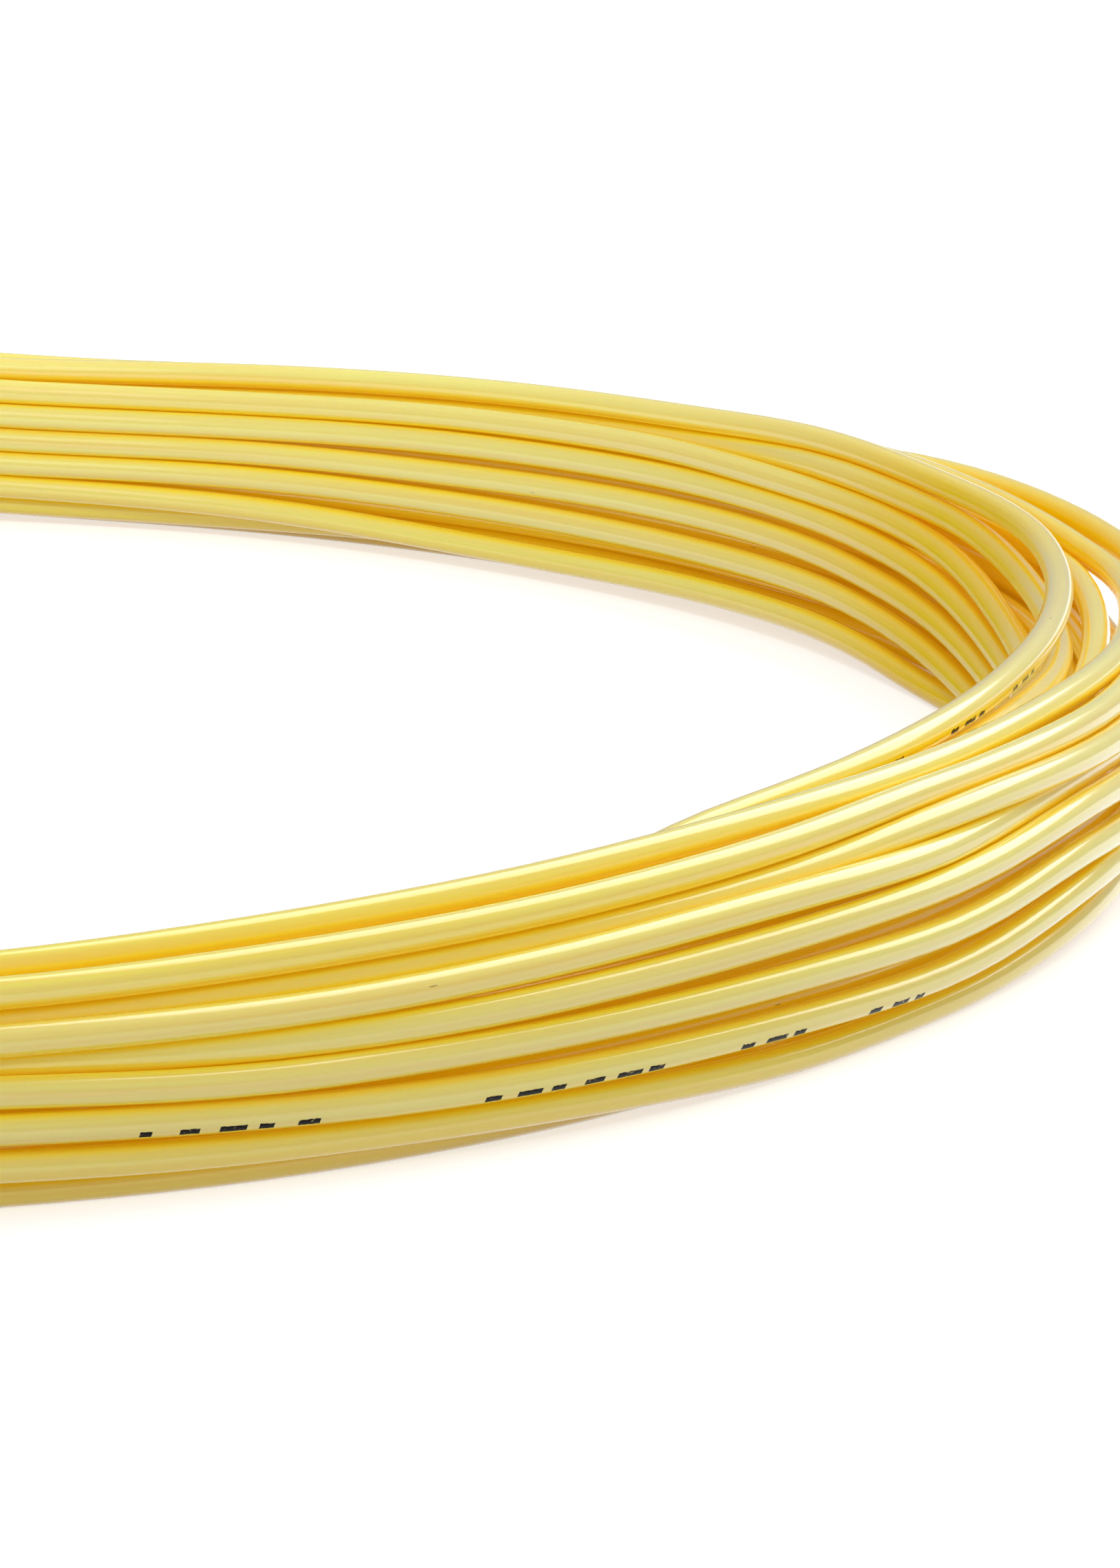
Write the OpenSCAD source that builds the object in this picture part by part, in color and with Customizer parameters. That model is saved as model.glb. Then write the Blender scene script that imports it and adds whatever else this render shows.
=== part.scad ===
// Coil of racket string held by two twist ties.
// The string is one unbroken length. It winds up and down at a steady rate in four layers,
// steps one layer outwards in the half turn where it reverses, and ends in two short free ends.
// The coil lies flat on z = 0 with its axis on z. Angles run from +X towards +Y.

/* [String] */
// Diameter of the string
string_d = 1.3; // [1.2:0.05:1.4]
// Clear gap between neighbouring turns
turn_gap = 0.48; // [0.48:0.01:0.6]

/* [Coil] */
// Radius from the axis to the middle of the bundle
coil_r = 65.5; // [55:0.5:80]
// Whole rows of turns in each of the four layers
rows = 5; // [3:1:5]
// How far the rows open out opposite the ties, as a share of their pitch
row_spread = 0.14; // [0:0.01:0.3]
// How far the layers open out opposite the ties, as a share of their pitch
layer_spread = 0.1; // [0:0.01:0.3]
// How far the loosest outer turn swings out from the bundle
swing_out = 2.4; // [0:0.1:4]
// How far that turn rises above its row where it swings out
swing_rise = 0.8; // [0:0.1:1.5]
// Angle at which that turn swings out most
swing_angle = 14; // [0:1:30]
// How high the innermost top turn rides where it steps over to the next layer
ride_rise = 0.9; // [0:0.1:1.5]

/* [Ties] */
// Angle of each tie, measured from the loose side of the coil
tie_angle = 105; // [95:1:125]
// Width of the plastic strip
strip_w = 3.4; // [2.6:0.1:4]
// Thickness of the strip beside its bead
strip_t = 0.3; // [0.2:0.05:0.4]
// Thickness of the bead that covers the wire
bead_t = 0.9; // [0.8:0.05:1.1]
// Diameter of the steel wire
wire_d = 0.5; // [0.4:0.05:0.6]
// Length of the twisted tail
twist_l = 11; // [8:0.5:14]
// Turns of twist in the tail
twist_turns = 2; // [1:0.5:2.5]
// Clear gap between a tie and the bundle
tie_gap = 0.25; // [0.2:0.05:0.4]
// Inside radius of the bend at each corner of a tie
corner_r = 1.2; // [0.8:0.1:2]

/* [Hidden] */

LAYERS = 4;
TURN = 360;
rings_per_turn = 24;
string_sides = 6;
end_sides = 8;
wire_sides = 6;
corner_steps = 5;
bend_steps = 3;
twist_step = 30;

// The string's section is a hexagon with flats above and below and corners towards the layers.
flat_t = string_d * cos(30);
row_pitch = flat_t + turn_gap;
layer_pitch = string_d + turn_gap;
// The lowest turn is cut flat by a tenth of the string's diameter.
floor_cut = string_d / 10;
lowest_z = flat_t / 2 - floor_cut;
tie_lift = bead_t + tie_gap;
lift_half_angle = 50;

// The free ends leave the bundle at the first ring of sections that is clear of a tie. Every turn
// has its sections at the same angles, so that the flats of neighbouring turns stay parallel.
ring_step = TURN / rings_per_turn;
end_angle = ring_step * ceil((tie_angle + 4) / ring_step);
layer_turns = rows + end_angle / (2 * TURN);
coil_turns = LAYERS * layer_turns;
half_climb = 0.25;

bundle_w = (LAYERS - 1) * layer_pitch + string_d;
bundle_h = layer_turns * row_pitch + flat_t;
bundle_mid = tie_lift + bundle_h / 2;
swing_half_angle = 48;
ride_half_angle = 42;
ride_angle = layer_turns * TURN - end_angle - floor(layer_turns) * TURN + 30;
coil_shift = -swing_out / 2;

// Route of each free end: along the string, out from the axis and up, from the end of the coil
inner_route = [[0, 0, 0], [2, 0, 0], [5, -0.5, 0.1], [8, -1.2, 0.3], [12, -2.5, 0.6], [16, -4, 1]];
outer_route = [[0, 0, 0], [2, 0, 0], [6, 0.5, 0.1], [10, 1.2, 0.3], [14, 2, 0.6], [18, 3, 1]];

// Wraps an angle to -180..180.
function wrap(a) = a - TURN * round(a / TURN);

// A smooth bump: 1 at its middle, 0 from half_width away.
function bump(a, middle, half_width) =
    let (x = abs(wrap(a - middle)) / half_width)
    x < 1 ? (1 + cos(180 * x)) / 2 : 0;

function ease(x) =
    let (s = min(max(x, 0), 1))
    s * s * (3 - 2 * s);

// Row of the string after t turns: it climbs and falls one row a turn.
function row_at(t) =
    let (u = t - 2 * layer_turns * floor(t / (2 * layer_turns)))
    layer_turns - abs(u - layer_turns);

// Layer of the string after t turns, which steps outwards in the half turn where it reverses.
function layer_at(t) =
    ease((t - layer_turns + half_climb) / (2 * half_climb))
    + ease((t - 2 * layer_turns + half_climb) / (2 * half_climb))
    + ease((t - 3 * layer_turns + half_climb) / (2 * half_climb));

function angle_at(t) = t * TURN - end_angle;

// How open the bundle is at an angle: 0 at and behind the ties, 1 opposite them.
function open_at(a) = bump(a, 0, tie_angle);

// The bundle lies on the ties where they pass under it.
function lift_at(a) =
    tie_lift * max(bump(a, tie_angle, lift_half_angle), bump(a, -tie_angle, lift_half_angle),
        abs(wrap(a)) > tie_angle ? 1 : 0);

// The turn that swings out is the top one of the outer layer.
function swing_at(t) =
    let (top = 3 * layer_turns)
    t > top - 0.5 && t < top + 1 ? bump(angle_at(t), swing_angle, swing_half_angle) : 0;

function ride_at(t) =
    let (top = layer_turns)
    abs(t - top) < 0.5 ? bump(angle_at(t), ride_angle, ride_half_angle) : 0;

function radius_at(t) =
    coil_r
    + (layer_at(t) - (LAYERS - 1) / 2) * layer_pitch * (1 + layer_spread * open_at(angle_at(t)))
    + swing_out * swing_at(t);

function height_at(t) =
    lowest_z + lift_at(angle_at(t))
    + row_at(t) * row_pitch * (1 + row_spread * open_at(angle_at(t)))
    + swing_rise * swing_at(t) + ride_rise * ride_at(t);

function outward(a) = [cos(a), sin(a), 0];
function along(a) = [-sin(a), cos(a), 0];
UP = [0, 0, 1];

function place_at(t) = radius_at(t) * outward(angle_at(t)) + height_at(t) * UP;

// A section of the given 2-D profile at point p, spanned by the directions across and up.
function section(p, across, up, profile) = [for (q = profile) p + q[0] * across + q[1] * up];

function round_profile(d, sides, first = 0) =
    [for (i = [0 : sides - 1]) d / 2 * [cos(first + i * 360 / sides), sin(first + i * 360 / sides)]];

string_profile = round_profile(string_d, string_sides);

function above_floor(p) = [p[0], p[1], max(p[2], 0)];

coil_steps = round(coil_turns * rings_per_turn);
function string_ring(t, shift = 0) =
    let (a = angle_at(t), p = place_at(t) + shift * along(a))
    [for (q = section(p, outward(a), UP, string_profile)) above_floor(q)];

// The winding runs straight for one diameter at each end.
coil_rings = [
    string_ring(0, -string_d),
    for (i = [0 : coil_steps]) string_ring(i / rings_per_turn),
    string_ring(coil_turns, string_d)
];

// Half the extent of the string's hexagon along a direction of the given angle in its plane
function half_extent(a) = string_d / 2 * cos(a - 60 * round(a / 60));

// Clear gap between the string at point p, angle a, and its stretch from q to r
function gap_between(p, a, q, r) =
    let (
        s = min(max((p - q) * (r - q) / ((r - q) * (r - q)), 0), 1),
        apart = q + s * (r - q) - p
    )
    norm(apart) - 2 * half_extent(atan2(apart * UP, apart * outward(a)));

// Least gap of the winding to itself: each ring against both stretches beside it on every later turn
places = [for (i = [0 : coil_steps]) place_at(i / rings_per_turn)];
least_gap = min([
    for (i = [0 : coil_steps - rings_per_turn - 1])
        for (k = [i + rings_per_turn : rings_per_turn : coil_steps - 1])
            let (a = angle_at(i / rings_per_turn))
            min(gap_between(places[i], a, places[k], places[k + 1]),
                gap_between(places[i], a, places[k - 1], places[k]))
]);
echo(str("Least gap of the winding to itself: ", least_gap, " mm"));
echo(str("Loops of the winding: ", coil_turns));

// Closed solid through a list of sections of equal length, with triangles throughout
module skin(rings) {
    n = len(rings[0]);
    last = len(rings) - 1;
    middle_of = function (ring) [for (i = [0 : 2]) [for (p = ring) p[i]] * [for (p = ring) 1] / n];
    points = [for (ring = rings) each ring, middle_of(rings[0]), middle_of(rings[last])];
    first_cap = n * len(rings);
    sides = [
        for (k = [0 : last - 1], i = [0 : n - 1])
            let (a = k * n + i, b = k * n + (i + 1) % n)
            each [[a, b, a + n], [b, b + n, a + n]]
    ];
    caps = [
        for (i = [0 : n - 1])
            let (j = (i + 1) % n)
            each [[first_cap, j, i], [first_cap + 1, last * n + i, last * n + j]]
    ];
    polyhedron(points, concat(sides, caps));
}

module string_coil() {
    color("khaki")
        translate([coil_shift, 0, 0])
            skin(coil_rings);
}

// A free end starts where the winding ends, at turn t, and runs on in the given sense.
module free_end(t, sense, route) {
    a = angle_at(t);
    out = outward(a);
    on = sense * along(a);
    start = place_at(t) + string_d * on;
    points = [for (q = route) start + q[0] * on + q[1] * out + q[2] * UP];
    profile = round_profile(string_d, end_sides, 180 / end_sides);
    rings = [
        for (i = [0 : len(points) - 1])
            let (
                before = points[max(i - 1, 0)],
                after = points[min(i + 1, len(points) - 1)],
                run = i == 0 ? on : (after - before) / norm(after - before),
                across = cross(run, UP) / norm(cross(run, UP))
            )
            section(points[i], across, cross(across, run), profile)
    ];
    translate([coil_shift, 0, 0])
        skin(rings);
}

module inner_end() {
    color("khaki")
        free_end(0, -1, inner_route);
}

module outer_end() {
    color("khaki")
        free_end(coil_turns, 1, outer_route);
}

// Section of the plastic strip: flat wings with a bead along the middle
bead_half = 0.45;
strip_profile = [
    [strip_w / 2, -strip_t / 2], [strip_w / 2, strip_t / 2], [bead_half, strip_t / 2],
    [wire_d / 2, bead_t / 2], [-wire_d / 2, bead_t / 2], [-bead_half, strip_t / 2],
    [-strip_w / 2, strip_t / 2], [-strip_w / 2, -strip_t / 2], [-bead_half, -strip_t / 2],
    [-wire_d / 2, -bead_t / 2], [wire_d / 2, -bead_t / 2], [bead_half, -strip_t / 2]
];
wire_profile = round_profile(wire_d, wire_sides);
wire_stub = 0.6;

// Half width and half height of a tie's loop, to the middle of the strip
loop_x = bundle_w / 2 + tie_gap + bead_t / 2;
loop_y = bundle_h / 2 + tie_gap + bead_t / 2;
twist_gap = 0.04;
twist_offset = bead_t / 2 + twist_gap;
bend_r = 0.9;
neck_x = loop_x + bend_r;
loop_corner = corner_r + bead_t / 2;

// A point on a tie's strip: how far out and up it is, then the strip's outer normal
// in the same terms and along the coil, and how far the strip has turned about the tail.
function strip_at(x, y, face, twist = 0, side = 1) = [x, y, face, twist, side];

function arc(cx, cy, r, from, to, steps, side) = [
    for (i = [0 : steps])
        let (a = from + (to - from) * i / steps)
        strip_at(cx + r * cos(a), cy + r * sin(a), side > 0 ? a : a + 180)
];

function tail(from, to, side) = [
    for (i = [0 : round(abs(to - from) / twist_step)])
        let (
            twist = from + (to > from ? 1 : -1) * i * twist_step,
            x = neck_x + twist_l * twist / (twist_turns * TURN)
        )
        strip_at(x, 0, 90 * side, twist, side)
];

tail_twist = twist_turns * TURN;
upper_tail = tail(tail_twist, twist_step, 1);
lower_tail = tail(twist_step, tail_twist, -1);
strip_loop = [
    each arc(neck_x, twist_offset + bend_r, bend_r, -90, -180, bend_steps, -1),
    each arc(loop_x - loop_corner, loop_y - loop_corner, loop_corner, 0, 90, corner_steps, 1),
    each arc(loop_corner - loop_x, loop_y - loop_corner, loop_corner, 90, 180, corner_steps, 1),
    each arc(loop_corner - loop_x, loop_corner - loop_y, loop_corner, 180, 270, corner_steps, 1),
    each arc(loop_x - loop_corner, loop_corner - loop_y, loop_corner, 270, 360, corner_steps, 1),
    each arc(neck_x, -twist_offset - bend_r, bend_r, 180, 90, bend_steps, -1)
];

// Share of its radius at which a turn passes angle a, on its straight run between two sections
function chord_share(a) =
    cos(ring_step / 2) / cos(a - ring_step * floor(a / ring_step) - ring_step / 2);

// Sections of a tie at angle a: the twisted tail, the loop about the bundle and the tail again.
function tie_rings(a, profile, stub) =
    let (
        out = outward(a),
        side_way = along(a),
        origin = coil_r * chord_share(a) * out + bundle_mid * UP,
        loop_section = function (q)
            let (face = cos(q[2]) * out + sin(q[2]) * UP)
            section(origin + q[0] * out + q[1] * UP, side_way, face, profile),
        tail_section = function (q, more)
            let (
                face = cos(q[3]) * UP + sin(q[3]) * side_way,
                across = cos(q[3]) * side_way - sin(q[3]) * UP
            )
            section(origin + (q[0] + more) * out + q[4] * twist_offset * face, across,
                q[4] * face, profile)
    )
    [
        if (stub > 0) tail_section(upper_tail[0], stub),
        for (q = upper_tail) tail_section(q, 0),
        for (q = strip_loop) loop_section(q),
        for (q = lower_tail) tail_section(q, 0),
        if (stub > 0) tail_section(lower_tail[len(lower_tail) - 1], stub)
    ];

module tie_strip(a) {
    color("white")
        translate([coil_shift, 0, 0])
            difference() {
                skin(tie_rings(a, strip_profile, 0));
                skin(tie_rings(a, wire_profile, wire_stub));
            }
}

module tie_wire(a) {
    color("silver")
        translate([coil_shift, 0, 0])
            skin(tie_rings(a, wire_profile, wire_stub));
}

module front_tie_strip() {
    tie_strip(-tie_angle);
}

module front_tie_wire() {
    tie_wire(-tie_angle);
}

module back_tie_strip() {
    tie_strip(tie_angle);
}

module back_tie_wire() {
    tie_wire(tie_angle);
}

string_coil();
inner_end();
outer_end();
front_tie_strip();
front_tie_wire();
back_tie_strip();
back_tie_wire();
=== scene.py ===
"""A 12 m set of racket string in its coil, held by two twist ties: its looks over the CAD."""
from math import cos, degrees, pi, radians, sin

import bpy
import numpy as np
from mathutils import Matrix, Vector


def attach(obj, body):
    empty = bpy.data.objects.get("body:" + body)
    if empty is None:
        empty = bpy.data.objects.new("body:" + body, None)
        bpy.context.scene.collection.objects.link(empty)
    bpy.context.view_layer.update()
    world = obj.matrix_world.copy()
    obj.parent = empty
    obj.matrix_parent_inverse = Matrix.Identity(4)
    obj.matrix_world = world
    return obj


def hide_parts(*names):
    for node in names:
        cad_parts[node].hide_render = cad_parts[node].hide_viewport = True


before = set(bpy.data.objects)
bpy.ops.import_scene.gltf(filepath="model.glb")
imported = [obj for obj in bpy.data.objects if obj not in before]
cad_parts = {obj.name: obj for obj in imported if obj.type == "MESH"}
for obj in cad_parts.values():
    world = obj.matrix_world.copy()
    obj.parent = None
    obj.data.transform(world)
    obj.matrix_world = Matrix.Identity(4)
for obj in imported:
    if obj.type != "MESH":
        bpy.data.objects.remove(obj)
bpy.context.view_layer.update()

# Lengths are in millimetres and angles in degrees, unless a name says otherwise. Angles run about
# the coil's axis from +X towards +Y, and 0 is the middle of the loose side, away from the ties.
MM = 0.001

# ---------------------------------------------------------------------------
# The photograph's camera, from the coil's own axis. (x, y) is a pixel of the photograph.
# ---------------------------------------------------------------------------
PHOTO_W, PHOTO_H = 1624, 2274
FOCAL_PX = 11069.0
SENSOR = 36
CAMERA_AWAY = 357.0
CAMERA_UP = 13.81               # above the floor
CAMERA_ROLL = 0.46
AIM = (40.79, 4.57, 0.0)
CLIP_M = (0.01, 10)
COIL_SHIFT = -1.2               # the coil's axis in the row's frame


def camera_axes():
    """The camera's place, and its right, up and ahead."""
    back = np.array([0, -cos(radians(CAMERA_UP)), sin(radians(CAMERA_UP))])
    right = np.array([1.0, 0, 0])
    up = np.cross(right, -back)
    c, s = cos(radians(CAMERA_ROLL)), sin(radians(CAMERA_ROLL))
    return np.array(AIM) + CAMERA_AWAY * back, c * right + s * up, c * up - s * right, -back


def ray(x, y):
    """The line of sight through a pixel: where it starts and its direction."""
    place, right, up, ahead = camera_axes()
    d = ahead + right * (x - PHOTO_W / 2) / FOCAL_PX + up * (PHOTO_H / 2 - y) / FOCAL_PX
    return place, d / np.linalg.norm(d)


def make_camera():
    place, right, up, ahead = camera_axes()
    data = bpy.data.cameras.new("camera")
    data.lens = SENSOR * FOCAL_PX / PHOTO_H
    data.sensor_width = SENSOR
    data.clip_start, data.clip_end = CLIP_M
    camera = bpy.data.objects.new("camera", data)
    at = (place + np.array([COIL_SHIFT, 0, 0])) * MM
    axes = Matrix((right, up, -ahead)).transposed()
    camera.matrix_world = Matrix.Translation(Vector(at)) @ axes.to_4x4()
    bpy.context.scene.collection.objects.link(camera)
    bpy.context.scene.camera = camera


# ---------------------------------------------------------------------------
# The string: one line of 28 2/3 turns, each turn with a slot in the bundle's section.
# ---------------------------------------------------------------------------
STRING_D = 1.30
COLUMNS = (5, 6, 7, 6, 5)       # turns in each column, from the inside out
TURNS = sum(COLUMNS)
SLICES = 96                     # points for each turn
END_ANGLE = 120                 # where the string's ends leave the coil, on each side
FINER = 2                       # points of the tube for each point of the line
TUBE_SIDES = 16

# The bundle's section
COIL_R = 65.5                   # to its middle
BUNDLE_W = 6.3
NEAR_H, FAR_H, BEHIND_H = 8.8, 8.2, 9.4
SQUARENESS = 2.6                # of its outline: 2 is an ellipse
LOOSE_WIDE, LOOSE_HIGH = 0.12, 0.27     # how much wider and higher it is on the loose side
BEHIND_WIDE = 0.3               # how much wider it is behind the ties
BEHIND_FROM, BEHIND_SPAN = 70, 25       # where it changes to what it is behind the ties
SIDE_BLEND = 0.3                # how softly the near height turns into the far one, as a sine

# The ties
TIE_ANGLE = 105
TIE_LIFT = 1.15                 # a tie's loop under the bundle holds it up by this
LIFT_REACH = 30                 # how far before a tie the bundle starts to rise

# Where the line of sight is searched for the bundle's face: from, to and steps
SIGHT = (250, 460, 4001)
# Near strands lie below this row of the photograph: left of the column, and right of it
NEAR_COLUMN, NEAR_ROWS = 1450, (1000, 900)
NOWHERE = 99                    # an outline share that is never reached

# Where the visible turns lie. Each has its slot (column from the inside, row from the bottom) and
# the places it passes: (x, y) is a pixel on the bundle's face, (x, y, deep) one deep inside it,
# ("z", x, y, height) a pixel at a height, ("r", x, y, radius) one on the far side at a radius, and
# ("polar", angle, radius, height) a place.
TRACKS = {
    "ride": ((1, 5), [
        ("r", 0, 543, 64.2), ("r", 400, 549, 64.2), ("r", 800, 582, 64.2), ("r", 1000, 611, 64.1),
        ("r", 1100, 633, 64.0), ("r", 1200, 656, 63.9), ("r", 1300, 684, 63.8),
        ("r", 1350, 701, 63.8), ("r", 1400, 717, 63.8), ("r", 1450, 741, 63.8),
        ("r", 1480, 759, 63.8), ("r", 1505, 780, 63.78), ("polar", 4, 63.68, 11.0),
        ("polar", 0, 63.58, 11.0),
        ("polar", -5, 63.42, 10.95), ("polar", -10, 63.32, 11.0), ("polar", -17, 63.35, 11.0),
        ("polar", -25, 63.65, 10.9), ("z", 1300, 1090, 10.6), ("z", 1200, 1135, 10.2),
        ("z", 1080, 1178, 9.6)]),
    "below_ride": ((1, 4), [
        ("r", 0, 568, 64.5), ("r", 400, 576, 64.5), ("r", 800, 604, 64.5), ("r", 1000, 637, 64.2),
        ("r", 1100, 651, 63.7), ("r", 1200, 672, 63.5), ("r", 1300, 712, 63.4),
        ("r", 1350, 735, 63.4), ("r", 1400, 761, 63.4), ("r", 1440, 792, 63.4),
        ("polar", 9, 63.3, 8.9), ("polar", 2, 63.3, 8.8), ("polar", -4, 63.5, 8.9),
        ("polar", -10, 63.7, 9.1), ("polar", -17, 63.9, 9.6), ("polar", -25, 64.1, 9.7),
        ("polar", -33, 64.0, 9.3), ("polar", -42, 63.9, 8.4), ("polar", -55, 64.1, 7.6)]),
    "swing_low": ((2, 6), [
        ("r", 0, 541, 65.5), ("r", 400, 547, 65.5), ("r", 800, 580, 65.5), ("r", 1000, 609, 65.5),
        ("r", 1100, 631, 65.6), ("r", 1200, 653, 65.8), ("z", 1334, 696, 9.3),
        ("z", 1448, 740, 9.4), ("z", 1560, 797, 9.4), ("z", 1624, 836, 9.4),
        ("polar", 0, 66.9, 9.7), ("z", 1620, 957, 10.0), ("z", 1550, 1005, 10.2),
        ("z", 1400, 1088, 10.2), ("z", 1200, 1160, 10.3), ("z", 1000, 1218, 10.2),
        ("z", 800, 1270, 9.95), ("z", 400, 1346, 9.5), ("z", 0, 1407, 8.95)]),
    "swing_high": ((3, 5), [
        ("polar", 75, 68.0, 7.0), ("polar", 48, 68.2, 7.9), ("z", 1200, 656, 9.2),
        ("z", 1334, 675, 9.4), ("z", 1448, 707, 9.5), ("z", 1560, 754, 9.5),
        ("z", 1624, 791, 9.4), ("polar", 0, 68.3, 9.4), ("z", 1620, 1018, 9.3), (1550, 1062),
        ("z", 1400, 1137, 9.5), ("z", 1200, 1216, 9.3), ("z", 1000, 1270, 9.3),
        ("z", 800, 1322, 9.0), ("z", 400, 1393, 8.75), (0, 1447)]),
    "under": ((3, 4), [
        ("polar", 24, 67.0, 7.9), ("polar", 15, 66.6, 7.2), ("polar", 5, 66.4, 7.2),
        ("polar", -8, 67.3, 8.0), (1620, 1070, 0.1), (1550, 1105, 0.1), (1400, 1167, 0.3),
        (1200, 1240, 0.8), (800, 1350, 1.1), (400, 1430, 1.0), (0, 1478, 0.9)]),
    "dark": ((4, 4), [
        ("polar", 120, 69.6, 1.5), ("polar", 105, 69.6, 2.6), ("polar", 92, 69.4, 4.6),
        ("polar", 78, 68.5, 7.0), ("polar", 24, 68.0, 6.6), ("polar", 15, 67.2, 6.0),
        ("polar", 5, 67.2, 6.1), ("polar", -10, 67.5, 7.2), (1550, 1130, 0.9), (1400, 1212, 0.4),
        (1200, 1283), (800, 1394), (400, 1470), (0, 1512)]),
    "mid": ((4, 3), [
        ("polar", 24, 68.4, 5.2), ("polar", 10, 68.0, 4.8), ("polar", -5, 68.1, 5.6),
        (1620, 1140), (1550, 1175), (1400, 1268), (1200, 1340), (800, 1447),
        (400, 1517, 0.3), (200, 1535, 0.7), (0, 1548, 1.0)]),
    "bright": ((4, 2), [
        ("polar", 8, 68.2, 3.4), (1620, 1205), (1550, 1240), (1400, 1342), (1200, 1402),
        (800, 1500), (400, 1560), (0, 1578)]),
    "printed": ((4, 1), [
        ("polar", 8, 67.9, 2.1), (1550, 1295), (1400, 1400), (1200, 1465), (800, 1560),
        (400, 1613), (0, 1635)]),
    "low": ((4, 0), [
        ("polar", 8, 66.9, 0.9), (1550, 1335), (1400, 1440), (1200, 1512), (800, 1606),
        (400, 1661), (0, 1688)]),
    "lowest": ((3, 0), [(800, 1625, 0.2), (400, 1690), (0, 1725)]),
    "hole_side": ((2, 5), [
        ("polar", 30, 65.9, 8.9), ("polar", 8, 65.7, 9.0), ("polar", -2, 65.2, 9.0),
        ("polar", -12, 65.1, 8.7), ("polar", -30, 65.6, 8.8), ("polar", -45, 65.8, 8.6),
        ("polar", -60, 65.6, 8.2)]),
    "far_1": ((0, 4), [
        ("r", 0, 573, 63.2), ("r", 364, 586, 63.2), ("r", 636, 603, 63.1), ("r", 818, 626, 63.0),
        ("r", 1000, 657, 63.0), ("r", 1182, 704, 63.0), ("r", 1250, 732, 63.0),
        ("r", 1350, 787, 63.0), ("r", 1400, 824, 62.9), ("polar", 13.5, 62.8, 7.0),
        ("polar", 10, 62.7, 6.5), ("polar", 0, 62.6, 6.0), ("polar", -10, 62.6, 6.4),
        ("polar", -20, 62.8, 7.1), ("polar", -30, 62.9, 7.5), ("polar", -42, 62.8, 7.2),
        ("polar", -55, 62.8, 6.9)]),
    "far_2": ((0, 3), [
        ("r", 0, 606, 62.85), ("r", 364, 620, 62.85), ("r", 636, 641, 62.8),
        ("r", 818, 665, 62.75), ("r", 1000, 698, 62.75), ("r", 1182, 750, 62.7),
        ("r", 1250, 782, 62.7), ("r", 1350, 838, 62.65), ("r", 1390, 874, 62.6),
        ("polar", 13.5, 62.6, 5.3), ("polar", 9, 62.5, 4.8), ("polar", 0, 62.5, 4.4),
        ("polar", -10, 62.5, 4.6), ("polar", -20, 62.6, 5.1), ("polar", -30, 62.7, 5.6),
        ("polar", -55, 62.8, 5.5)]),
    "far_3": ((0, 2), [
        ("r", 0, 640, 62.85), ("r", 364, 656, 62.8), ("r", 636, 686, 62.75),
        ("r", 818, 710, 62.75), ("r", 1000, 745, 62.7), ("r", 1182, 798, 62.65),
        ("r", 1250, 835, 62.6), ("r", 1350, 892, 62.6), ("polar", 16.5, 62.6, 4.0),
        ("polar", 12, 62.5, 3.4), ("polar", 0, 62.4, 2.8),
        ("polar", -10, 62.5, 3.0), ("polar", -20, 62.6, 3.5), ("polar", -30, 62.7, 3.9),
        ("polar", -55, 62.8, 4.1)]),
    "far_4": ((0, 1), [
        ("r", 0, 674, 62.85), ("r", 364, 693, 62.8), ("r", 636, 727, 62.75),
        ("r", 818, 757, 62.7), ("r", 1000, 796, 62.7), ("r", 1182, 849, 62.6),
        ("r", 1250, 882, 62.6), ("r", 1350, 948, 62.6), ("polar", 16.5, 62.6, 2.0),
        ("polar", 11, 62.5, 1.6), ("polar", 0, 62.4, 1.3),
        ("polar", -10, 62.5, 1.5), ("polar", -20, 62.5, 2.0), ("polar", -30, 62.6, 2.4),
        ("polar", -55, 62.8, 2.7)]),
    "far_5": ((0, 0), [
        ("r", 0, 706, 63.0), ("r", 364, 736, 62.9), ("r", 636, 782, 62.9),
        ("r", 818, 816, 62.8), ("r", 1000, 852, 62.7), ("r", 1182, 906, 62.6),
        ("r", 1250, 937, 62.6), ("polar", 22, 62.7, 0.65), ("polar", 14, 63.1, 0.65),
        ("polar", 5, 63.6, 0.65), ("polar", -20, 63.65, 0.65), ("polar", -45, 63.0, 0.8)]),
    "far_6": ((1, 0), [
        ("r", 0, 730, 63.9), ("r", 200, 740, 63.9), ("r", 400, 754, 64.0),
        ("r", 600, 770, 64.2)]),
}

def ease(t):
    t = np.clip(t, 0, 1)
    return t * t * (3 - 2 * t)


def bundle_size(angle):
    """Width and height of the bundle's section: loose on the right, drawn together by the ties."""
    opening = np.clip(np.cos(np.radians(angle)), 0, 1)
    far = 0.5 + 0.5 * np.tanh(np.sin(np.radians(angle)) / SIDE_BLEND)
    high = (NEAR_H + (FAR_H - NEAR_H) * far) * (1 + LOOSE_HIGH * opening)
    behind = ease((np.abs(angle) - BEHIND_FROM) / BEHIND_SPAN)
    return (BUNDLE_W * (1 + LOOSE_WIDE * opening) + BEHIND_WIDE * behind,
            high * (1 - behind) + BEHIND_H * behind)


def lift(angle):
    """The two ties lift the bundle off the floor, and with them all that is behind them."""
    away = np.clip((TIE_ANGLE - np.abs(angle)) / LIFT_REACH, 0, 1)
    return TIE_LIFT * (0.5 + 0.5 * np.cos(np.pi * away))


def outline_share(r, z, w, h, deep=0.0):
    """1 where a string's centre lies on the bundle's face, and more outside it."""
    a, b = (w - STRING_D) / 2 - deep, (h - STRING_D) / 2 - deep
    return (np.abs((r - COIL_R) / a) ** SQUARENESS
            + np.abs((z - h / 2) / b) ** SQUARENESS) ** (1 / SQUARENESS)


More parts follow.
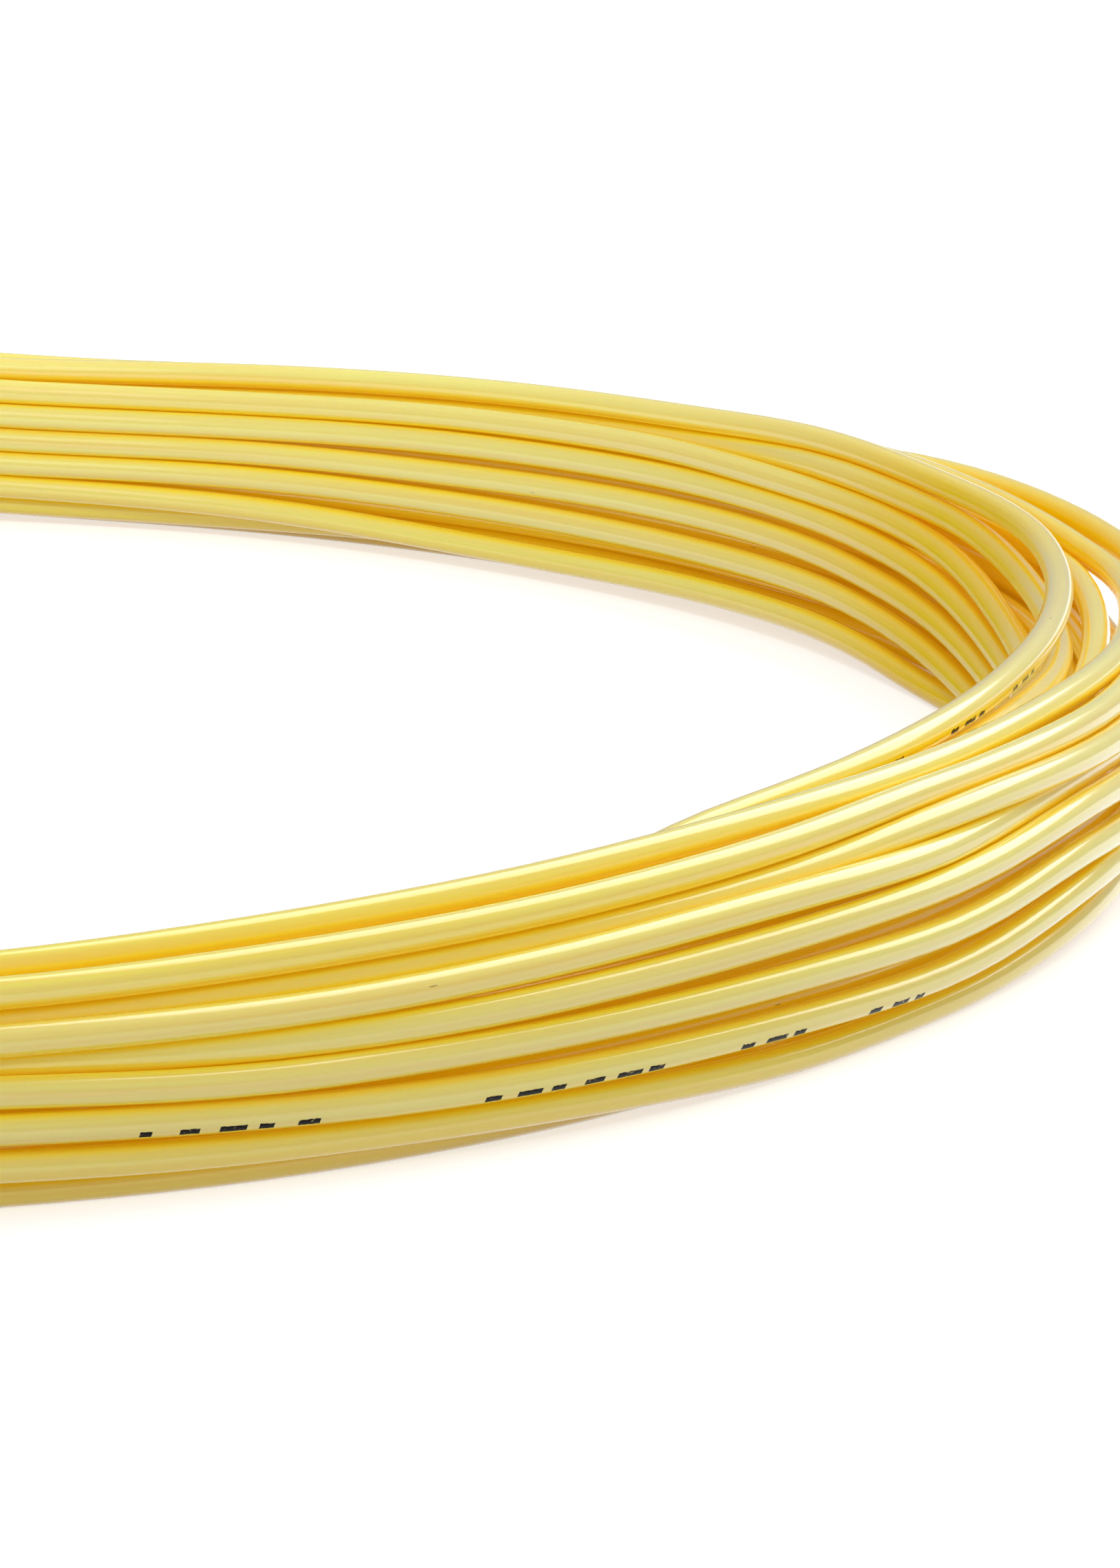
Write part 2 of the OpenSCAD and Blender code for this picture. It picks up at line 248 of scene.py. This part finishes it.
def on_face(x, y, deep=0.0):
    """Where the line of sight first meets the bundle's face: angle, radius and height."""
    place, d = ray(x, y)
    p = place + np.linspace(*SIGHT)[:, None] * d
    r = np.hypot(p[:, 0], p[:, 1])
    a = np.degrees(np.arctan2(p[:, 1], p[:, 0]))
    share = outline_share(r, p[:, 2], *bundle_size(a), deep)
    near = y > NEAR_ROWS[int(x >= NEAR_COLUMN)]
    share[(a < 0) != near] = NOWHERE
    hit = np.nonzero(share <= 1)[0]
    i = hit[0] if len(hit) else int(share.argmin())
    return a[i], r[i], p[i, 2]


def at_height(x, y, z):
    """Where the line of sight comes down to a height."""
    place, d = ray(x, y)
    p = place + d * (z - place[2]) / d[2]
    return degrees(np.arctan2(p[1], p[0])), float(np.hypot(p[0], p[1])), z


def at_radius(x, y, radius):
    """Where the line of sight leaves a cylinder about the coil's axis: on its far side."""
    place, d = ray(x, y)
    flat, out = d[:2] @ d[:2], place[:2] @ d[:2]
    away = (-out + np.sqrt(out ** 2 - flat * (place[:2] @ place[:2] - radius ** 2))) / flat
    p = place + away * d
    return degrees(np.arctan2(p[1], p[0])), radius, float(p[2])


def place_of(spot):
    """Angle, radius and height of one of the TRACKS' places."""
    if spot[0] == "z":
        return at_height(*spot[1:])
    if spot[0] == "r":
        return at_radius(*spot[1:])
    if spot[0] == "polar":
        return spot[1:]
    return on_face(*spot)


def smooth_curve(a, v, at):
    """A cubic through the points (a, v) that overshoots none of them, read at the angles at."""
    i = np.argsort(a)
    a, v = np.array(a)[i], np.array(v)[i]
    h = np.diff(a)
    d = np.diff(v) / h
    m = np.zeros(len(a))
    m[0], m[-1] = d[0], d[-1]
    for j in range(1, len(a) - 1):
        if d[j - 1] * d[j] > 0:
            w1, w2 = 2 * h[j] + h[j - 1], h[j] + 2 * h[j - 1]
            m[j] = (w1 + w2) / (w1 / d[j - 1] + w2 / d[j])
    k = np.clip(np.searchsorted(a, at) - 1, 0, len(h) - 1)
    t = np.clip((at - a[k]) / h[k], 0, 1)
    return ((1 + 2 * t) * (1 - t) ** 2 * v[k] + t * (1 - t) ** 2 * h[k] * m[k]
            + t * t * (3 - 2 * t) * v[k + 1] + t * t * (t - 1) * h[k] * m[k + 1])


def slot_order():
    """The slots as the string fills them: up the inner column, down the next, and so on."""
    order = []
    for c, n in enumerate(COLUMNS):
        rows = range(n) if c % 2 == 0 else range(n - 1, -1, -1)
        order += [(c, k) for k in rows]
    return order


def slot_place(slot, angle):
    """Radius and height of a slot at an angle."""
    column, row = slot
    w, h = bundle_size(angle)
    out = (column / (len(COLUMNS) - 1) - 0.5) * (w - STRING_D)
    pitch = (h - STRING_D) / (max(COLUMNS) - 1)
    return COIL_R + out, h / 2 + (row - (COLUMNS[column] - 1) / 2) * pitch


# How a turn follows its track and its slot
HOLD_FADE = 14                  # the track lets go of the turn over this much past its ends
HOLD_PAST_END = 5               # and of the string's ends this far past END_ANGLE
STEP_FROM, STEP_SPAN = 130, 95  # where a turn moves over to the next one's slot

# How the turns settle. Late rounds move little, and the last ones hardly smooth.
ROUNDS, QUICK_ROUNDS = 1200, 400
LATE, LAST = 0.8, 0.95          # shares of the rounds
TRACK_RATE, SLOT_RATE, LATE_RATE = 0.30, 0.012, 0.1
TRACKED, LOOSE = 0.02, 0.3      # pull from which a turn has a track, and up to which it is loose
SMOOTHING, LAST_SMOOTHING = 0.055, 0.01
PUSHES = 3                      # pushes of the turns against each other in each round
PUSH, LATE_PUSH = 0.45, 0.5     # share of an overlap that a push takes away
TURN_PITCH = STRING_D * 1.004   # least distance between the middles of two turns
CROWDED, CROWD_PUSH = 1.16, 0.02        # within this many pitches, turns push each other a little
SQUEEZE, LATE_SQUEEZE = 0.25, 0.04      # how firmly the outline holds loose turns
PARKED, PARKED_PITCH = 1000.0, 50.0     # where a turn is put in the slices that it doesn't pass


class Winding:
    """The string's line as (radius, height) for each angle along it."""

    def __init__(self):
        self.order = slot_order()
        step = 360 / SLICES
        count = (TURNS - 1) * SLICES + round(2 * END_ANGLE / step) + 1
        index = np.arange(count)
        self.theta = -END_ANGLE + index * step
        self.turn = index // SLICES
        self.local = self.theta - 360 * self.turn
        self.angle = (self.theta + 180) % 360 - 180
        self.lift = lift(self.angle)
        self.w, self.h = bundle_size(self.angle)
        self.rows = np.full((SLICES, TURNS), -1)
        self.rows[index % SLICES, self.turn] = index
        self.home = self.homes(index % SLICES)
        self.goal, self.pull = self.goals()

    def homes(self, slice_of):
        """Each turn's slot, and behind the ties the step to the next one."""
        around = (self.local[:SLICES] + 180) % 360 - 180
        here = np.array([[slot_place(s, a) for s in self.order] for a in around])
        t = ease((self.local - STEP_FROM) / STEP_SPAN)[:, None]
        after = np.minimum(self.turn + 1, TURNS - 1)
        home = here[slice_of, self.turn] * (1 - t) + here[slice_of, after] * t
        home[:, 1] += self.lift
        return home

    def goals(self):
        """The visible turns' own places, and how strongly each point is held there."""
        goal, pull = self.home.copy(), np.zeros(len(self.theta))
        for slot, spots in TRACKS.values():
            places = np.array([place_of(s) for s in spots], float)
            mine = np.nonzero(self.turn == self.order.index(slot))[0]
            a = self.angle[mine]
            low, high = places[:, 0].min(), places[:, 0].max()
            held = (ease((a - low + HOLD_FADE) / HOLD_FADE)
                    * ease((high + HOLD_FADE - a) / HOLD_FADE))
            held[np.abs(self.local[mine]) > END_ANGLE + HOLD_PAST_END] = 0
            goal[mine, 0] = smooth_curve(places[:, 0], places[:, 1], a)
            goal[mine, 1] = smooth_curve(places[:, 0], places[:, 2], a) + self.lift[mine]
            pull[mine] = held
        return goal, pull

    def relax(self, rounds):
        """Settles the turns side by side: none into another, none sharply bent."""
        p = self.home + (self.goal - self.home) * self.pull[:, None]
        wanted = np.where(self.pull[:, None] > TRACKED, self.goal, self.home)
        rate = TRACK_RATE * self.pull + SLOT_RATE * (1 - self.pull)
        missing = self.rows < 0
        there = ~missing
        parked = PARKED + PARKED_PITCH * np.arange(TURNS)[None, :, None]
        first, second = np.triu_indices(TURNS, 1)
        loose = self.pull <= LOOSE
        middle = self.lift + self.h / 2
        for n in range(rounds):
            late, last = n > rounds * LATE, n > rounds * LAST
            p += (rate * (LATE_RATE if late else 1.0))[:, None] * (wanted - p)
            e = np.vstack([2 * p[0] - p[2], 2 * p[0] - p[1], p,
                           2 * p[-1] - p[-2], 2 * p[-1] - p[-3]])
            p -= (LAST_SMOOTHING if last else SMOOTHING) * (
                e[:-4] - 4 * e[1:-3] + 6 * e[2:-2] - 4 * e[3:-1] + e[4:])
            for _ in range(PUSHES):
                s = np.where(missing[..., None], parked, p[self.rows])
                d = s[:, second] - s[:, first]
                gap = np.sqrt((d ** 2).sum(2)) + 1e-9
                push = np.clip(TURN_PITCH - gap, 0, None) * (LATE_PUSH if late else PUSH)
                if not late:
                    push += np.clip(TURN_PITCH * CROWDED - gap, 0, None) * CROWD_PUSH
                push = (push / gap)[..., None] * d
                move = np.zeros_like(s)
                np.add.at(move, (slice(None), second), push)
                np.add.at(move, (slice(None), first), -push)
                p[self.rows[there]] += move[there]
                share = outline_share(p[:, 0], p[:, 1] - self.lift, self.w, self.h)
                out = (share > 1) & loose
                k = 1 - (LATE_SQUEEZE if late else SQUEEZE) * (share - 1) / np.maximum(share, 1e-6)
                p[out, 0] = (COIL_R + (p[:, 0] - COIL_R) * k)[out]
                p[out, 1] = (middle + (p[:, 1] - middle) * k)[out]
                p[:, 1] = np.maximum(p[:, 1], STRING_D / 2 + self.lift)
        return p

    def line(self, rounds):
        """The string's points in the row's frame."""
        p = self.relax(rounds)
        t = np.radians(self.theta)
        return np.stack([COIL_SHIFT + p[:, 0] * np.cos(t), p[:, 0] * np.sin(t), p[:, 1]], 1)


# How the two ends lie from where the coil stops: along, outward and up
INNER_TAIL = ((2, 0, 0), (5, -0.5, 0.1), (8, -1.2, 0.3), (12, -2.5, 0.6), (16, -4, 1.0))
OUTER_TAIL = ((2, 0, 0), (6, 0.5, 0.1), (10, 1.2, 0.3), (14, 2, 0.6), (18, 3, 1.0))


def tail(end, before, places):
    """The free end beyond the coil, springing away from it."""
    along = end - before
    along /= np.linalg.norm(along)
    outward = np.array([end[0] - COIL_SHIFT, end[1], 0])
    outward /= np.linalg.norm(outward)
    up = np.array([0, 0, 1.0])
    return [end + STRING_D * along + p[0] * along + p[1] * outward + p[2] * up for p in places]


def string_line():
    """The whole string, from its inner end to its outer one."""
    coil = Winding().line(ROUNDS)
    inner = tail(coil[0], coil[1], INNER_TAIL)[::-1]
    outer = tail(coil[-1], coil[-2], OUTER_TAIL)
    return np.vstack([inner, coil, outer])


def point_of(turn, angle):
    """The point of the string's line that lies at an angle of one of its turns."""
    return len(INNER_TAIL) + round((360 * turn + angle + END_ANGLE) * SLICES / 360)


def finer(points, parts):
    """The same curve with more points: a cubic between each two."""
    p = np.vstack([2 * points[0] - points[1], points, 2 * points[-1] - points[-2]])
    out = []
    for k in range(parts):
        t = k / parts
        out.append(0.5 * (2 * p[1:-2] + (p[2:-1] - p[:-3]) * t
                          + (2 * p[:-3] - 5 * p[1:-2] + 4 * p[2:-1] - p[3:]) * t ** 2
                          + (3 * p[1:-2] - p[:-3] - 3 * p[2:-1] + p[3:]) * t ** 3))
    mixed = np.stack(out, 1).reshape(-1, 3)
    return np.vstack([mixed, points[-1]])


def tube(name, line, diameter, sides):
    """A round tube on a line, and how far along it each point is. Its material reads two
    attributes: along, in millimetres, and around, which is (outward, up) on the section."""
    p = np.asarray(line)
    t = np.gradient(p, axis=0)
    t /= np.linalg.norm(t, axis=1)[:, None]
    flat = np.cross(t, [0, 0, 1.0])
    flat /= np.linalg.norm(flat, axis=1)[:, None]
    up = np.cross(flat, t)
    turn = np.arange(sides) * 2 * pi / sides
    ring = (np.cos(turn)[None, :, None] * flat[:, None] + np.sin(turn)[None, :, None] * up[:, None])
    verts = (p[:, None] + ring * diameter / 2).reshape(-1, 3)
    n = len(p)
    i = (np.arange(n - 1)[:, None] * sides + np.arange(sides)[None]).ravel()
    j = (np.arange(n - 1)[:, None] * sides + (np.arange(sides)[None] + 1) % sides).ravel()
    faces = np.stack([i, j, j + sides, i + sides], 1)[:, ::-1].tolist()
    caps = [list(range(sides)), list(range((n - 1) * sides, n * sides))[::-1]]
    mesh = bpy.data.meshes.new(name)
    mesh.from_pydata((verts * MM).tolist(), [], faces + caps)
    mesh.polygons.foreach_set("use_smooth", [True] * len(faces) + [False] * len(caps))
    far = np.concatenate([[0], np.cumsum(np.linalg.norm(np.diff(p, axis=0), axis=1))])
    along = mesh.attributes.new("along", "FLOAT", "POINT")
    along.data.foreach_set("value", np.repeat(far, sides))
    around = mesh.attributes.new("around", "FLOAT_VECTOR", "POINT")
    unit = np.stack([np.cos(turn), np.sin(turn), turn * 0], 1)
    around.data.foreach_set("vector", np.tile(unit, (n, 1)).ravel())
    mesh.update()
    obj = bpy.data.objects.new(name, mesh)
    bpy.context.scene.collection.objects.link(obj)
    return obj, far


# ---------------------------------------------------------------------------
# Materials. A length that goes into a shader is in metres.
# ---------------------------------------------------------------------------
def srgb(r, g, b):
    """A colour as an eye sees it, 0 to 255, for a shader."""
    def one(v):
        v /= 255
        return v / 12.92 if v <= 0.04045 else ((v + 0.055) / 1.055) ** 2.4
    return one(r), one(g), one(b), 1.0


class Shader:
    """A node material that is put together a line at a time."""

    def __init__(self, name):
        self.material = bpy.data.materials.new(name)
        self.material.use_nodes = True
        self.tree = self.material.node_tree
        self.bsdf = self.tree.nodes["Principled BSDF"]

    def node(self, kind, inputs=None, **settings):
        n = self.tree.nodes.new("ShaderNode" + kind)
        for key, value in settings.items():
            setattr(n, key, value)
        for key, value in (inputs or {}).items():
            self.feed(n.inputs[key], value)
        return n

    def feed(self, socket, value):
        if isinstance(value, bpy.types.NodeSocket):
            self.tree.links.new(value, socket)
        else:
            socket.default_value = value

    def look(self, values):
        """Feeds the surface's own sockets."""
        for key, value in values.items():
            self.feed(self.bsdf.inputs[key], value)

    def math(self, operation, a, b=0.0, clamp=False):
        return self.node("Math", {0: a, 1: b}, operation=operation, use_clamp=clamp).outputs[0]

    def parts(self, vector):
        return self.node("SeparateXYZ", {0: vector}).outputs

    def mix(self, factor, a, b):
        n = self.node("Mix", data_type="RGBA")
        self.feed(n.inputs["Factor"], factor)
        self.feed(n.inputs["A"], a)
        self.feed(n.inputs["B"], b)
        return n.outputs["Result"]

    def ramp(self, value, *stops, constant=False):
        n = self.node("ValToRGB", {0: value})
        if constant:
            n.color_ramp.interpolation = "CONSTANT"
        e = n.color_ramp.elements
        while len(e) < len(stops):
            e.new(0.5)
        for spot, (at, colour) in zip(e, stops):
            spot.position = at
            spot.color = colour if not isinstance(colour, float) else (colour,) * 3 + (1,)
        return n.outputs["Color"]

    def noise(self, vector, scale, detail):
        inputs = {"Vector": vector, "Scale": scale, "Detail": detail}
        return self.node("TexNoise", inputs).outputs[0]

    def bump(self, height, strength, distance):
        n = self.node("Bump", {"Height": height, "Strength": strength, "Distance": distance})
        self.feed(self.bsdf.inputs["Normal"], n.outputs[0])


# The string's colours: its own pale yellow, print and dust, with painted shade and light. The ramps
# run from shut in among other turns (0) to open to the air (1); the deeper amber where the turns
# shut each other in is painted shade and painted light through the string.
AIR_REACH_M, AIR_SAMPLES = 0.003, 6
BODY_AND_CREVICE_SHADE = ((0.0, srgb(255, 210, 4)), (0.35, srgb(255, 223, 40)), (0.65, srgb(253, 230, 86)),
        (1.0, srgb(253, 234, 138)))
GOLDEN = ((0.0, srgb(236, 178, 0)), (0.5, srgb(238, 194, 2)), (1.0, srgb(240, 205, 8)))
# GLOW is a painted glow, from shut in (0) to open (1): the crevices between turns give off a little
# amber light
GLOW = ((0.0, srgb(255, 218, 18)), (0.5, srgb(252, 222, 30)), (0.8, srgb(150, 134, 24)),
        (1.0, srgb(0, 0, 0)))
GLOW_LEVEL = 0.09
# LEMON is painted light from behind on high strands; CLOUD is random tone, DUST specks of dust
LEMON, CLOUD, DUST = srgb(250, 226, 40), srgb(243, 205, 106), srgb(118, 92, 52)
INK, BLACK = srgb(12, 5, 6), srgb(0, 0, 0)
CLOUDY = ((0.35, 0.0), (0.7, 0.5))      # noise to how cloudy the string is
DUST_SHARE, DUST_SIZE, DUST_MIX = 0.93, 0.055, 0.6
INK_DULL, GOLD_DULL = 0.9, 0.8          # how much of the gloss they take away

# Painted light from behind: the string's colour is deepened by angle round the coil, angles with
# their shares
GOLD_AT = ((0, 0.0), (9, 1.0), (20, 1.0), (24, 0.8), (29, 0.45), (34, 0.18), (44, 0.0))
LEMON_AT = ((-112, 0.0), (-90, 1.0), (-65, 1.0), (-35, 0.0), (-10, 0.0), (0, 0.9), (9, 0.9),
            (20, 0.0))
# GOLD_UP: the painted golden light is weaker on a strand's top, which is painted paler, as lit from
# above
GOLD_UP = ((0.5, 1.0), (1.0, 0.5))      # less of it on a strand's top
LEMON_HIGH = ((0.85, 0.0), (0.92, 0.6))         # and only on high strands, in centimetres
CM_IN_M = 100

# Plain marks along the string, from where each row of them starts
MARKED = ((0, 7.5), (14.6, 23.9), (27.6, 31.7), (34.7, 40.2))
MARKED_SPAN = MARKED[-1][1] + 2
MARK_PITCH, MARK_LENGTHS = 1.62, (0.5, 1.3)
MARK_MIX = 0.382                # varies the lengths from mark to mark
MARK_SIDE, MARK_TURN = -35, -4  # round the section from its outer side, and more with each row
MARK_EDGE = ((0.957, 0.0), (0.972, 1.0))        # cosine from a mark's middle at which it ends
MARK_RAGGED = 0.06
# Two places in the photograph, as a turn, an angle and how far before it: where a row starts, and
# where the third group starts in the row that comes ROWS_BETWEEN earlier.
ROW_AT, THIRD_GROUP_AT = (25, -68.5, 1.4), (5, -27.4, 0.9)
ROWS_BETWEEN = 4


def place_along(far, turn, angle, before):
    return far[FINER * point_of(turn, angle)] - before


def on_skin(s, along, side, stretch):
    """A texture's place on the string: along it, and round its section."""
    return s.node("CombineXYZ", {0: s.math("MULTIPLY", along, stretch), 1: side[0],
                                 2: side[1]}).outputs[0]


def marks(s, along, side, start, every):
    """1 on the printed dashes, 0 elsewhere."""
    begun = s.math("SUBTRACT", along, start)
    row = s.math("FLOORED_MODULO", begun, every)
    angle = s.math("ADD", s.math("MULTIPLY", s.math("FLOOR", s.math("DIVIDE", begun, every)),
                                 radians(MARK_TURN)), radians(MARK_SIDE))
    stops = [(v / MARKED_SPAN, (1.0, 0.0)[k]) for group in MARKED for k, v in enumerate(group)]
    group = s.ramp(s.math("DIVIDE", row, MARKED_SPAN, clamp=True), *stops, constant=True)
    low, high = MARK_LENGTHS
    mixed = s.math("FRACT", s.math("MULTIPLY", s.math("FLOOR", s.math("DIVIDE", row, MARK_PITCH)),
                                   MARK_MIX))
    length = s.math("ADD", s.math("MULTIPLY", mixed, high - low), low)
    dash = s.math("LESS_THAN", s.math("FLOORED_MODULO", row, MARK_PITCH), length)
    facing = s.math("ADD", s.math("MULTIPLY", side[0], s.math("COSINE", angle)),
                    s.math("MULTIPLY", side[1], s.math("SINE", angle)))
    ragged = s.noise(on_skin(s, along, side, stretch=1.0), scale=5.0, detail=2.0)
    facing = s.math("ADD", facing,
                    s.math("MULTIPLY", s.math("SUBTRACT", ragged, 0.5), MARK_RAGGED))
    return s.math("MULTIPLY", s.math("MULTIPLY", group, dash), s.ramp(facing, *MARK_EDGE))


def light_through(s, up):
    """How much painted light from behind deepens the colour: painted golden in the far right part,
    where the bundle is loose, and painted lemon in the top strands of the near left part and of the
    right end."""
    x, y, z = s.parts(s.node("TexCoord").outputs["Object"])
    turn = s.math("DIVIDE", s.math("ARCTAN2", y, s.math("SUBTRACT", x, COIL_SHIFT * MM)), 2 * pi)
    turn = s.math("ADD", turn, 0.5)

    def by_angle(stops):
        return s.ramp(turn, *((0.5 + a / 360, share) for a, share in stops))

    high = s.ramp(s.math("MULTIPLY", z, CM_IN_M), *LEMON_HIGH)
    return (s.math("MULTIPLY", by_angle(GOLD_AT), s.ramp(up, *GOLD_UP)),
            s.math("MULTIPLY", by_angle(LEMON_AT), high))


def dust(s, along, side):
    """1 on rare specks."""
    cells = s.node("TexVoronoi", {"Vector": on_skin(s, along, side, stretch=0.22), "Scale": 1.3})
    rare = s.math("GREATER_THAN", s.parts(cells.outputs["Color"])[0], DUST_SHARE)
    return s.math("MULTIPLY", s.math("LESS_THAN", cells.outputs["Distance"], DUST_SIZE), rare)


def string_material(mark_start, mark_every):
    """Pale yellow polymer. The light that real string carries from turn to turn has stand-ins:
    a deeper colour and a weak glow where the turns shut each other in, and light_through."""
    s = Shader("string_polymer")
    along = s.node("Attribute", attribute_name="along").outputs["Fac"]
    side = s.parts(s.node("Attribute", attribute_name="around").outputs["Vector"])
    drawn = on_skin(s, along, side, stretch=0.02)
    open_air = s.node("AmbientOcclusion", {"Distance": AIR_REACH_M},
                      samples=AIR_SAMPLES).outputs["AO"]
    gold, lemon = light_through(s, side[1])
    ink = marks(s, along, side, mark_start, mark_every)

    # painted shade and light: amber where the turns shut each other in, and painted lemon light
    # from behind on high strands
    body = s.mix(lemon, s.ramp(open_air, *BODY_AND_CREVICE_SHADE), LEMON)
    cloud = s.ramp(s.noise(drawn, scale=1.4, detail=3.0), *CLOUDY)
    body = s.mix(cloud, body, CLOUD)
    # painted light from behind: golden in the far right part, less of it on the strands' tops
    body = s.mix(gold, body, s.ramp(open_air, *GOLDEN))
    body = s.mix(s.math("MULTIPLY", dust(s, along, side), DUST_MIX), body, DUST)
    dull = s.math("ADD", s.math("MULTIPLY", ink, INK_DULL), s.math("MULTIPLY", gold, GOLD_DULL),
                  clamp=True)
    gloss = s.math("SUBTRACT", 1.0, dull)
    s.look({"Base Color": s.mix(ink, body, INK), "Roughness": 0.2, "IOR": 1.52,
            "Specular IOR Level": s.math("MULTIPLY", gloss, 0.5),
            "Coat Weight": gloss, "Coat Roughness": 0.12,
            "Subsurface Weight": 1.0, "Subsurface Scale": 0.0008,
            "Subsurface Radius": (1.0, 0.9, 0.45),
            # painted glow in the crevices between turns
            "Emission Color": s.mix(ink, s.ramp(open_air, *GLOW), BLACK),
            "Emission Strength": GLOW_LEVEL})
    s.bump(s.noise(drawn, scale=9.0, detail=4.0), strength=0.06, distance=0.0001)
    return s.material


def grained(name, colours, scale, detail, roughness, metallic=0.0):
    """A material with a fine grain between two colours, and the grain itself."""
    s = Shader(name)
    grain = s.noise(s.node("TexCoord").outputs["Object"], scale, detail)
    s.look({"Base Color": s.mix(grain, *colours), "Roughness": roughness, "Metallic": metallic})
    return s, grain


def tie_material():
    colours = srgb(232, 232, 228), srgb(246, 246, 243)
    s, grain = grained("tie_vinyl", colours, scale=900.0, detail=3.0, roughness=0.38)
    s.bump(grain, strength=0.2, distance=0.00005)
    return s.material


def wire_material():
    colours = srgb(176, 178, 182), srgb(206, 208, 212)
    s, _ = grained("tie_wire", colours, scale=3000.0, detail=2.0, roughness=0.32, metallic=1.0)
    return s.material


# ---------------------------------------------------------------------------
# Studio: the floor and the sky look white to the camera, and light the object less.
# ---------------------------------------------------------------------------
FLOOR_M = 3
FLOOR_GREY, FLOOR_SEEN = 0.6, 0.62      # its own colour, and what it adds for the camera
SKY_LEVEL, SKY_SEEN = 0.47, 1.0


def make_floor():
    mesh = bpy.data.meshes.new("floor")
    corners = [(x * FLOOR_M, y * FLOOR_M, 0) for x, y in ((-1, -1), (1, -1), (1, 1), (-1, 1))]
    mesh.from_pydata(corners, [], [(0, 1, 2, 3)])
    floor = bpy.data.objects.new("floor", mesh)
    bpy.context.scene.collection.objects.link(floor)
    s = Shader("floor_white")
    path = s.node("LightPath").outputs
    seen = s.math("MAXIMUM", path["Is Camera Ray"], path["Is Glossy Ray"])
    seen = s.math("MAXIMUM", seen, path["Is Transmission Ray"])
    s.look({"Base Color": (FLOOR_GREY, FLOOR_GREY, FLOOR_GREY, 1), "Roughness": 0.9,
            "Specular IOR Level": 0.1, "Emission Color": (1, 1, 1, 1),
            "Emission Strength": s.math("MULTIPLY", seen, FLOOR_SEEN)})
    mesh.materials.append(s.material)


def make_world():
    world = bpy.data.worlds.new("studio")
    world.use_nodes = True
    tree = world.node_tree
    back = tree.nodes["Background"]
    path = tree.nodes.new("ShaderNodeLightPath")
    seen = tree.nodes.new("ShaderNodeMath")
    seen.operation = "MAXIMUM"
    tree.links.new(path.outputs["Is Camera Ray"], seen.inputs[0])
    tree.links.new(path.outputs["Is Transmission Ray"], seen.inputs[1])
    level = tree.nodes.new("ShaderNodeMapRange")
    tree.links.new(seen.outputs[0], level.inputs["Value"])
    level.inputs["To Min"].default_value = SKY_LEVEL
    level.inputs["To Max"].default_value = SKY_SEEN
    tree.links.new(level.outputs[0], back.inputs["Strength"])
    back.inputs["Color"].default_value = (1, 1, 1, 1)
    bpy.context.scene.world = world


def hang_lamp(name, data, at, aim):
    lamp = bpy.data.objects.new(name, data)
    lamp.location = at
    lamp.rotation_euler = (Vector(at) - Vector(aim)).to_track_quat("Z", "Y").to_euler()
    bpy.context.scene.collection.objects.link(lamp)


def soft_box(name, towards, away, size, power):
    """A rectangular lamp that faces the coil from a direction, in metres."""
    data = bpy.data.lights.new(name, "AREA")
    data.shape = "RECTANGLE"
    data.size, data.size_y = size
    data.energy = power
    hang_lamp(name, data, Vector(towards).normalized() * away, (0, 0, 0))


def inner_spot(name, at, aim, width, softness, power):
    """A soft spotlight, a little cool, on the inner side of the far half of the coil, in metres."""
    data = bpy.data.lights.new(name, "SPOT")
    data.spot_size, data.spot_blend = radians(width), 1.0
    data.energy, data.shadow_soft_size = power, softness
    data.color = (0.86, 0.95, 1.0)
    hang_lamp(name, data, at, aim)


# ---------------------------------------------------------------------------
make_camera()

line = string_line()
path_mm = finer(line, FINER)
string, far = tube("string", path_mm, STRING_D, TUBE_SIDES)
row, third_group = place_along(far, *ROW_AT), place_along(far, *THIRD_GROUP_AT)
every = (row + MARKED[2][0] - third_group) / ROWS_BETWEEN
string.data.materials.append(string_material(row, every))
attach(string, "root")
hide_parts("string_coil", "inner_end", "outer_end")

looks = {"tie_strip": tie_material(), "tie_wire": wire_material()}
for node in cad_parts:
    for ending, look in looks.items():
        if node.endswith(ending):
            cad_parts[node].data.materials.clear()
            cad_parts[node].data.materials.append(look)

make_floor()
make_world()
soft_box("key", towards=(0.5, 0.42, 0.75), away=0.9, size=(0.7, 0.9), power=5.3)
soft_box("front", towards=(-0.35, -0.8, 0.75), away=1.1, size=(0.8, 0.6), power=1.4)
inner_spot("inner", at=(0.0, -0.55, 0.50), aim=(0.005, 0.068, 0.006), width=17, softness=0.06,
           power=9.0)

bpy.context.scene.view_settings.view_transform = "Standard"
